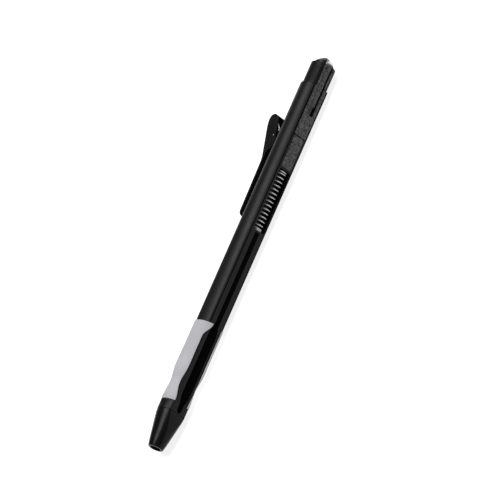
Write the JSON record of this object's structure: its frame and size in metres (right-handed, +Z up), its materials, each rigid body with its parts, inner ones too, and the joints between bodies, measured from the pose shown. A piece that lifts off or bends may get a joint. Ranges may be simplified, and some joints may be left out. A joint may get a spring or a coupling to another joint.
{
  "type": "counterfeit detector pen",
  "caption": "Retractable banknote-testing marker pen with a flat facet, a spring window, a rubber grip and a sprung peg clip.",
  "frame": {"origin": "centre of the footprint on the surface that the pen lies on", "axes": "+X along the pen from the nose to the push button, +Z up; the flat facet faces -Y and a little up, the clip is on the +Y side"},
  "size_m": [0.144, 0.0164, 0.0101],
  "materials": {
    "barrel_black": "fine satin moulded plastic",
    "nose_black": "semi-gloss moulded plastic",
    "grip_grey": "soft matte light grey rubber",
    "gloss_black": "high gloss black",
    "panel_grain": "speckled spark-eroded grain",
    "inner_white": "plain moulded plastic",
    "spring_steel": "bright drawn wire",
    "seal_black": "matte rubber",
    "clip_black": "satin black coating",
    "button_black": "satin black with a bright worn edge",
    "rod_black": "plain moulded plastic",
    "felt": "bonded fibre"
  },
  "bodies": {
    "pen_body": {"barrel": "barrel_black", "nose_cone": "nose_black", "grip_sleeve": "grip_grey", "gloss_strip": "gloss_black", "window_panel": "panel_grain", "upper_panel": "panel_grain", "neck_sleeve": "barrel_black", "cam_guide": "inner_white", "spring_washer": "spring_steel", "nib_seal": "seal_black", "return_spring": "spring_steel", "clip_bracket": "clip_black", "clip_pin": "spring_steel", "clip_spring": "spring_steel"},
    "button": {"push_button": "button_black", "tongue": "panel_grain"},
    "refill": {"ink_cartridge": "inner_white", "ink_reservoir": "felt", "nib_holder": "inner_white", "fibre_nib": "felt", "end_plug": "inner_white", "plunger_rod": "rod_black", "spring_collar": "rod_black"},
    "rotor": {"cam_rotor": "inner_white"},
    "clip_lever": {"clip": "clip_black"}
  },
  "joints": [
    {"name": "button_press", "type": "slide", "parent": "pen_body", "child": "button", "axis": [-1, 0, 0], "range_m": [0, 0.0026], "stiffness_N_per_m": 300, "springref_m": -0.004, "deforming": ["return_spring"]},
    {"name": "refill_advance", "type": "slide", "parent": "pen_body", "child": "refill", "axis": [-1, 0, 0], "range_m": [0, 0.0026]},
    {"name": "cam_turn", "type": "hinge", "parent": "refill", "child": "rotor", "pos_m": [0.04, -0.00354, 0.00505], "axis": [1, 0, 0], "range_deg": [0, 45]},
    {"name": "clip_hinge", "type": "hinge", "parent": "pen_body", "child": "clip_lever", "pos_m": [0.042, 0.00256, 0.00396], "axis": [0, -0.176, -0.9844], "range_deg": [0, 16], "stiffness_Nm_per_rad": 0.03, "springref_deg": -20.05, "deforming": ["clip_spring"]}
  ],
  "couplings": [
    {"joint": "refill_advance", "follows": "button_press", "ratio": 1},
    {"joint": "cam_turn", "follows": "button_press", "rad_per_m": 302.08}
  ]
}
